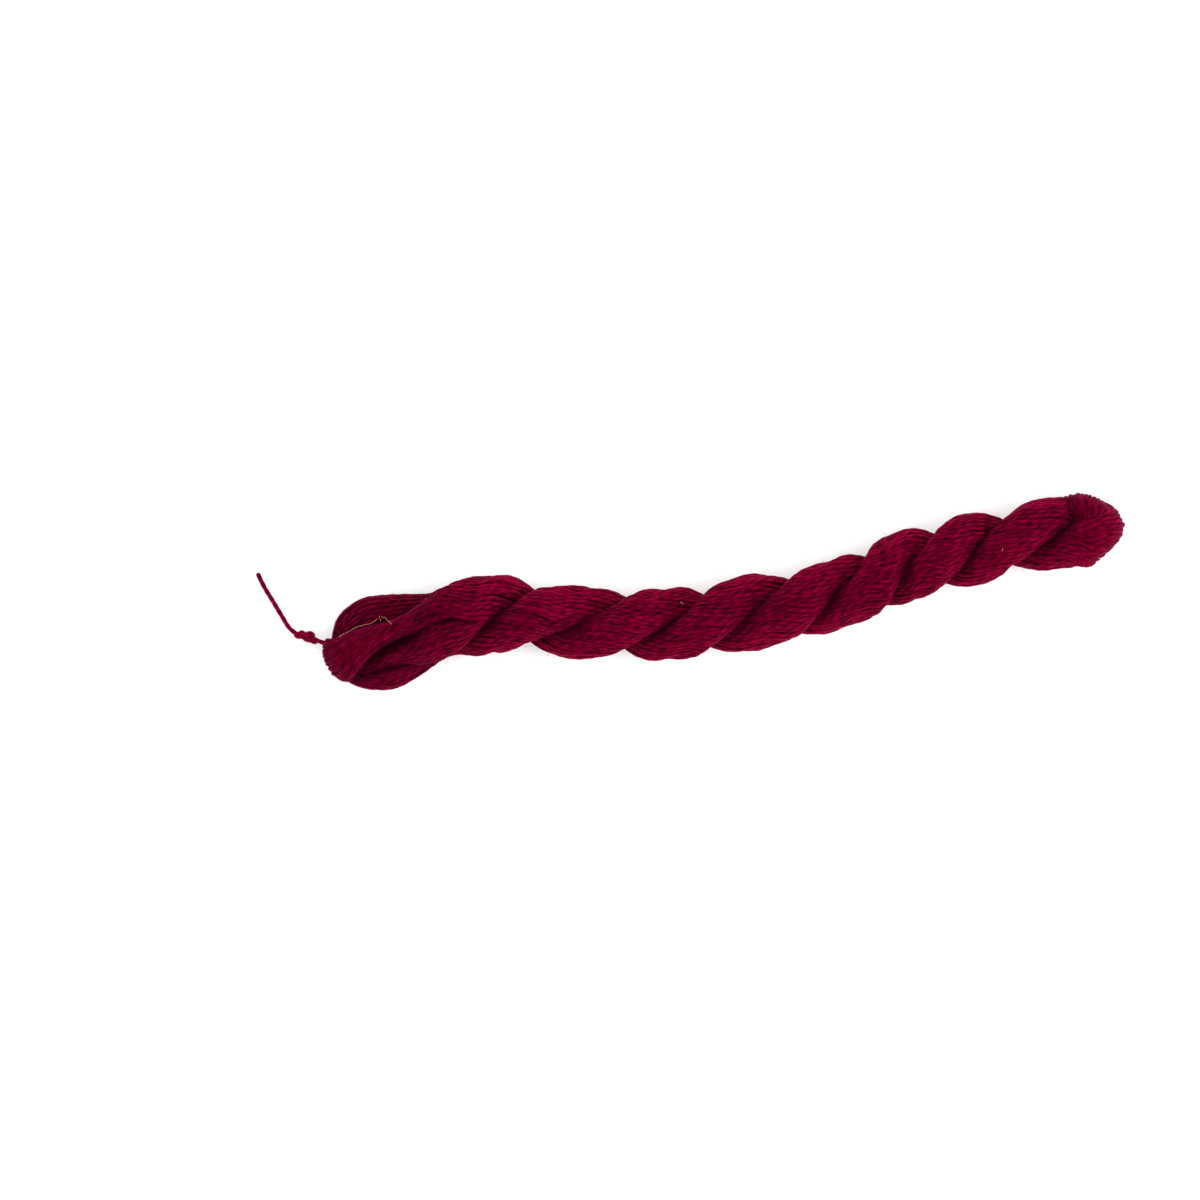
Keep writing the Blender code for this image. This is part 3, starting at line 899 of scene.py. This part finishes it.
class Crowd:
    """The share of space that threads fill near a place, blurred."""

    CELL, LOW, SHAPE = 0.7, np.array((-126.0, -36.0, -7.0)), (340, 94, 46)

    def __init__(self, lines, spacing):
        grid = np.zeros(self.SHAPE)
        points = np.concatenate(lines)
        cells = np.round((points - self.LOW) / self.CELL).astype(int)
        np.add.at(
            grid, tuple(cells.T), math.pi * THREAD_R**2 * spacing / self.CELL**3
        )
        grid = np.minimum(self.blurred(grid, 3), 1.0)
        self.near = self.blurred(grid, 3)
        self.wide = self.blurred(grid, 7)
        self.slope = np.stack(np.gradient(self.wide, self.CELL), axis=-1)

    @staticmethod
    def blurred(grid, width):
        for axis in (0, 1, 2) * 2:
            pad = [(0, 0)] * 3
            pad[axis] = (width // 2 + 1, width // 2)
            total = np.cumsum(np.pad(grid, pad), axis=axis)
            high = np.take(total, range(width, total.shape[axis]), axis=axis)
            low = np.take(total, range(total.shape[axis] - width), axis=axis)
            grid = (high - low) / width
        return grid

    def at(self, field, points):
        place = (points - self.LOW) / self.CELL
        corner = np.floor(place).astype(int)
        corner = np.clip(corner, 0, np.array(self.SHAPE) - 2)
        part = np.clip(place - corner, 0, 1)
        total = 0
        for k in range(8):
            bits = np.array([k >> 2 & 1, k >> 1 & 1, k & 1])
            weight = np.prod(np.where(bits, part, 1 - part), axis=1)
            value = field[tuple((corner + bits).T)]
            total = total + (value.T * weight).T
        return total

    def away(self, points):
        """The direction out of the crowd."""
        slope = -self.at(self.slope, points)
        return slope / (np.linalg.norm(slope, axis=1)[:, None] + 1e-6)

    def shade(self, points):
        """Painted shade and light as a factor of the colour: 1 where open, less in creases and
        at the left end, a little more along the sides.
        """
        away = self.away(points)
        wide = self.at(self.wide, points + away * 1.6)
        near = self.at(self.near, points + away * 1.3)
        # the painted crease shade fades out towards the sides of the skein, sooner at +Y
        y, half_turns, reach, _, _, ny = axis_at(points[:, 0])
        beside = (points[:, 1] - y) * ny / reach
        # on which side of the nearest crease: 1 on the lobe at its right
        up = (points[:, 2] - (SQUASH * reach - SINK)) / SQUASH
        around = np.arctan2(beside * reach, up) / np.pi
        past = (around - half_turns) % 1.0 - 0.5
        right = step(-past, -0.06, 0.06)
        open_side = np.where(
            beside > 0,
            np.where(right > 0.5, step(beside, 0.25, 0.6), step(beside, -0.05, 0.3)),
            step(-beside, 0.5, 0.85),
        )
        x = points[:, 0]
        open_side *= step(x, -62.0, -54.0) * (1 - step(x, 84.0, 90.0))
        # and there is hardly one between the rear lobe and the front loop
        behind = step(points[:, 1] - (-14.0 + 0.304 * (x + 99)), -0.5, 1.5)
        open_side = np.maximum(open_side, 0.75 * behind * (1 - step(x, -78.0, -72.0)))
        # nor where the two legs of the front loop come together
        met = step(x, -80.0, -76.0) * (1 - step(x, -69.0, -66.0))
        open_side = np.maximum(open_side, 0.7 * met)
        crease_shade = 1 - open_side * 0.9
        # painted shade: the side of a crease that turns to +X, towards the key light, gets as
        # little as half of it
        crease_shade *= 0.5 + 0.5 * step(away[:, 1] * 0.8 - away[:, 0] * 0.5, -0.45, 0.1)
        wide = wide + 0.04 * right
        # painted shade in the creases, deeper where it is crowded nearby
        out = 1 - crease_shade * CREASE_WIDE * step(wide, 0.21, 0.5)
        out *= 1 - crease_shade * CREASE_NEAR * step(near, 0.3, 0.7)
        # painted shade along the deep creases of the left end
        for line, width, depth in ((EYE, 2.0, 0.9), (UNDER_EYE, 0.9, 0.55)):
            out *= 1 - depth * closeness(points, line, width)
        # painted shade where the front loop's upper leg dips
        dip = ((x + 79.0) / 5.0) ** 2 + ((points[:, 1] + 5.6) / 3.4) ** 2
        out *= 1 - 0.36 * np.exp(-dip)
        # painted shade: darker towards the left end, most of all at its far rim
        rim = 0.62 + 0.08 * step(x, -101.0, -93.0) + 0.28 * step(x, -90.0, -54.0)
        # painted light: a little lighter along both sides of the twisted part, a little darker
        # along its middle
        twisted = step(x, -72.0, -56.0) * (1 - step(x, 84.0, 92.0))
        rim *= 1 + twisted * (0.24 * step(np.abs(beside), 0.45, 0.95) - 0.05)
        return out * rim, away


def loft(name, grids, material):
    """One mesh of closed tubes from grids of points (stations, sides, 3)."""
    made = Tubes(name)
    for grid in grids:
        n, sides = grid.shape[:2]
        base = made.count
        made.points += [grid.reshape(-1, 3), grid[:1].mean(axis=1), grid[-1:].mean(axis=1)]
        total = n * sides + 2
        made.yarn.append(np.zeros((total, 3)))
        made.tint.append(np.zeros(total))
        # painted shade: the core is coloured dark, as it lies in shade under the threads
        made.shade.append(np.full(total, 0.12))
        i = base + np.arange(n - 1)[:, None] * sides
        j = np.arange(sides)[None, :]
        k = (j + 1) % sides
        made.faces.append(
            np.stack([i + j, i + k, i + sides + k, i + sides + j], axis=-1).reshape(-1, 4)
        )
        j, k = j[0], k[0]
        for ring, tip, order in (
            (base, base + n * sides, (1, 0, 2, 3)),
            (base + (n - 1) * sides, base + n * sides + 1, (0, 1, 2, 3)),
        ):
            end = np.full(sides, tip)
            cap = np.stack([ring + j, ring + k, end, end], axis=-1)
            made.faces.append(cap[:, order])
        made.count += total
    return made.build(material)


def core_grids():
    """The inside of the plies, the loops and the fold, under the threads."""
    sides = 14
    share = np.arange(sides) / sides
    grids = []
    stations = np.linspace(-70.0, 90.0, 90)
    for lead in (0.0, 1.0):
        ring = [ply_strand(lead, k, 0.62, stations) for k in share]
        grids.append(np.stack(ring, axis=1))
    for rows in (FRONT_LOOP, REAR_LOOP):
        middle, side, half, normal, thick, _ = loop_sections(rows)
        pick = np.arange(0, len(middle), 4)
        angle = 2 * np.pi * share
        grid = (
            middle[pick, None, :]
            + side[pick, None, :] * (0.52 * half[pick, None] * np.cos(angle))[..., None]
            + normal[pick, None, :] * (0.5 * thick[pick, None] * np.sin(angle))[..., None]
        )
        grids.append(grid)
    x = np.array([89.0, 91.0, 93.0, 95.0, 97.0, 98.2])
    swell = np.array([1.0, 1.0, 0.95, 0.8, 0.55, 0.15])
    angle = 2 * np.pi * share
    grid = np.empty((len(x), sides, 3))
    grid[..., 0] = x[:, None]
    grid[..., 1] = 14.0 + 5.2 * swell[:, None] * np.cos(angle)
    grid[..., 2] = FOLD_Z + 4.6 * swell[:, None] * np.sin(angle)
    grids.append(grid)
    return grids


def tie_pieces(floss):
    n = len(TIE_ROUTE)
    route = smooth(
        np.column_stack([np.arange(n), TIE_ROUTE]), np.linspace(0, n - 1, 400)
    )
    route = resampled(route, 0.3)
    tie = Tubes("tie_thread")
    tie.add(route, 0.63, 4.2, 0.4, 0.35, LOBED, LOBED_R)
    # an overhand knot: three lobes, of which one is opened out along the thread
    a = 0.60
    t = np.linspace(math.pi + 0.95, 3 * math.pi - 0.95, 90)
    knot = a * np.column_stack(
        [
            1.12 * (np.sin(t) + 2 * np.sin(2 * t)),
            np.cos(t) - 2 * np.cos(2 * t),
            -1.05 * np.sin(3 * t),
        ]
    )
    lead_in = np.array([(2.95, -0.25, 0.0), (2.2, -0.75, 0.0)])
    if knot[0, 0] < 0:
        lead_in[:, 0] *= -1
    lead_out = (lead_in * (-1, 1, 1))[::-1]
    knot = np.concatenate([lead_in, knot, lead_out])
    knot = softened(resampled(knot, 0.16), 10)
    middle = np.array((-109.2, -12.2, 1.85))
    along = np.array((-3.0, 1.0, 0.0)) / math.sqrt(10)
    across = np.array((1.0, 3.0, 0.0)) / math.sqrt(10)
    tilt = math.radians(28)
    up = np.array((0.0, 0.0, 1.0))
    side_way = across * math.cos(tilt) + up * math.sin(tilt)
    other_way = up * math.cos(tilt) - across * math.sin(tilt)
    points = (
        middle
        + along * knot[:, :1]
        + side_way * (knot[:, 1:2] - 0.15)
        + other_way * knot[:, 2:]
    )
    points[:, 2] = np.maximum(points[:, 2], 0.66)
    knot_tube = Tubes("tie_knot_thread")
    knot_tube.add(points, 0.62, 4.2, 1.0, 0.55, LOBED, LOBED_R)
    tie_obj, knot_obj = tie.build(floss), knot_tube.build(floss)
    for obj, node in ((tie_obj, "tie"), (knot_obj, "tie_knot")):
        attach(obj, "root")
        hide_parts(node)


def fuzz(name, shown, amount, material):
    """Loose fibres that stand off the outer threads."""
    points = np.concatenate([line for line, _, _ in shown])
    along = np.concatenate([np.gradient(line, axis=0) for line, _, _ in shown])
    along /= np.linalg.norm(along, axis=1)[:, None] + 1e-9
    away = np.concatenate([part for _, part, _ in shown])
    shade = np.concatenate([part for _, _, part in shown])
    # more at the two ends, and none from deep in a crease
    ends = 1 + 1.3 * (points[:, 0] < -66) + 1.3 * (points[:, 0] > 86)
    weight = ends * step(shade, 0.3, 0.9)
    made = Tubes(name)
    angles, radii = np.radians([0, 120, 240]), np.ones(3)
    for i in rng.choice(len(points), amount, p=weight / weight.sum()):
        length = min(rng.gamma(2.0, 0.6), 3.2)
        n = 3
        direction = (
            along[i] * rng.choice((-1.0, 1.0)) * rng.uniform(0.5, 1.2)
            + away[i] * rng.uniform(0.1, 0.8)
            + rng.normal(0, 0.3, 3)
        )
        direction /= np.linalg.norm(direction)
        curl = rng.normal(0, 0.4, 3)
        place = points[i] + away[i] * THREAD_R * 0.7
        path = [place]
        for _ in range(n):
            direction = direction + curl + rng.normal(0, 0.15, 3)
            direction /= np.linalg.norm(direction)
            place = place + direction * length / n
            path.append(place)
        path = np.array(path)
        path[:, 2] = np.maximum(path[:, 2], 0.03)
        thin = rng.uniform(0.011, 0.02) * np.linspace(1, 0.6, n + 1)
        made.add(path, thin, 0, 0.0, rng.random(), angles, radii)
    return made.build(material)


STRAYS = (  # pale loose fibres on top, in plan
    ((-100.2, -12.2), (-98.9, -11.2), (-96.1, -9.9), (-92.2, -8.6), (-90.4, -7.6)),
    ((-89.9, -6.8), (-89.5, -8.2)),
    ((-89.3, -7.0), (-88.2, -7.4), (-86.7, -8.8)),
    ((-11.7, -3.1), (-11.0, -3.6)),
    ((71.6, 10.9), (71.5, 10.2)),
    ((96.6, 8.4), (97.5, 7.7)),
    ((29.5, -10.0), (30.6, -9.8)),
)


def stray_fibres(lines, material):
    points = np.concatenate(lines)
    made = Tubes("stray_fibres")
    for k, plan in enumerate(STRAYS):
        rows = np.column_stack([np.arange(len(plan)), plan])
        fine = smooth(rows, np.linspace(0, len(plan) - 1, 12 * len(plan)))
        height = []
        for x, y in fine:
            near = np.hypot(points[:, 0] - x, points[:, 1] - y) < 0.9
            height.append(points[near, 2].max() + THREAD_R if near.any() else 0.1)
        line = np.column_stack([fine, softened(np.array(height), 4)])
        line[:, 2] += 0.1 + 0.25 * np.abs(np.sin(np.linspace(0, 9, len(line)) + k))
        line[:, 1] += 0.12 * np.sin(np.linspace(0, 14, len(line)) + k)
        made.add(
            line, 0.045, 0, 0.0, 0.5, np.radians([0, 90, 180, 270]), np.ones(4)
        )
    return made.build(material)


def filler_runs():
    """Outer threads of the front loop: over its top to the rim, and back below."""
    middle, side, half, normal, thick, share = loop_sections(FRONT_LOOP)
    made = []
    for seed, (face, low, high, count) in enumerate(
        ((1.0, 0.2, 0.62, 20), (-1.0, 0.52, 0.9, 12))
    ):
        inside = (share > low) & (share < high)
        s = share[inside]
        sink = step(s, low, low + 0.05) * (1 - step(s, high - 0.05, high))
        for k, around in enumerate(np.linspace(8, 172, count)):
            own = np.random.default_rng(seed * 100 + k)
            u = np.cos(np.radians(around)) + 0.04 * np.sin(
                2 * np.pi * (s * own.uniform(2, 4) + own.random())
            )
            u = np.clip(u, -1, 1)
            v = face * np.sqrt(1 - 0.96 * u * u) * (0.45 + 0.55 * sink)
            made.append(
                middle[inside]
                + side[inside] * ((half[inside] - THREAD_R) * u)[:, None]
                + normal[inside] * ((thick[inside] - THREAD_R * 0.8) * v)[:, None]
            )
    return [
        wandered(resampled(line, STEP), STEP, 0.12, 7000 + k)
        for k, line in enumerate(made)
    ]


def fold_fillers():
    """Threads between the outer ones of the fold, a little deeper."""
    made = []
    for k in range(SHELLS[0][1]):
        line = fold_run(k / SHELLS[0][1] + 0.002, 0.95)
        line = softened(resampled(line[line[:, 0] > 88.5], STEP), 4)
        made.append(wandered(line, STEP, 0.1, 8000 + k))
    return made


def main():
    make_stage()
    floss = yarn_material("floss", (0.008, 0.0, 0.0004), (0.252, 0.0, 0.0255), 0.28)
    tie_pieces(floss)
    runs, everywhere = [], []  # runs: (points, shown in full)
    for k, (points, depth, shell) in enumerate(all_threads()):
        line, deep = resampled(points, STEP, depth)
        line = softened(line, 6)
        line = wandered(line, STEP, 0.17, 1000 + k)
        line[:, 2] = np.maximum(line[:, 2], THREAD_R * 0.95)
        everywhere.append(line)
        grade = np.where(deep > 0.86, 2, np.where(deep > 0.68, 1, 0))
        # a loop's threads are all kept where they may show
        looped = line[:, 0] < -68
        grade = np.where(looped & (deep > 0.45), np.maximum(grade, 1), grade)
        grade = np.where(looped & (deep > 0.66), 2, grade)
        grade = np.where(
            (line[:, 0] > 90) & (deep > 0.5), np.maximum(grade, 1), grade
        )
        if shell == 0:
            grade[:] = 2
        elif shell == 1:
            grade = np.maximum(grade, 1)
        for low, high, value in stretches(grade):
            if value == 0:
                continue
            low, high = max(low - 5, 0), min(high + 5, len(line))
            if high - low > 12:
                runs.append((line[low:high], value == 2, 1.0))
    # painted shade, the third value of a run: the first wraps are darkest, as they lie in shade
    # beside ply A's lobe
    for k, points in enumerate(wrap_runs()):
        line = wandered(resampled(points, STEP), STEP, 0.1, 9000 + k)
        runs.append((line, True, 0.42 + 0.4 * float(step(k, 0, 9))))
    # painted shade: the fillers a little darker, as they lie a little deeper
    runs += [(line, True, 0.94) for line in filler_runs() + fold_fillers()]
    crowd = Crowd(everywhere, STEP)
    pieces, shown = [], []
    group = None
    for line, full, painted_run_shade in runs:
        if full:
            angles, radii = LOBED, LOBED_R
        else:
            line = resampled(line, 0.95)
            angles, radii = LOBED_LOW, LOBED_LOW_R
        if group is None or group.triangles() > 170000:
            group = Tubes(f"floss_threads_{len(pieces) + 1}")
            pieces.append(group)
        shade, away = crowd.shade(line)
        shade = shade * painted_run_shade * rng.uniform(0.84, 1.12)
        shown.append((line, away, shade)) if full else None
        group.add(
            line,
            THREAD_R * rng.uniform(0.93, 1.12),
            PITCH * rng.uniform(0.92, 1.08),
            rng.uniform(0, 6.28),
            rng.random(),
            angles,
            radii,
            shade,
            away,
        )
    objects = []
    for piece in pieces:
        objects.append(piece.build(floss))
        print(piece.name, len(objects[-1].data.polygons), "faces")
    objects.append(loft("floss_core", core_grids(), floss))
    objects.append(
        fuzz("floss_fuzz", shown, 3400, floss)
    )
    pale = yarn_material("pale_fibre", (0.42, 0.2, 0.15), (0.62, 0.36, 0.27), 0.2)
    objects.append(stray_fibres([line for line, _, _ in shown], pale))
    for obj in objects:
        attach(obj, "root")
        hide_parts("skein")


main()
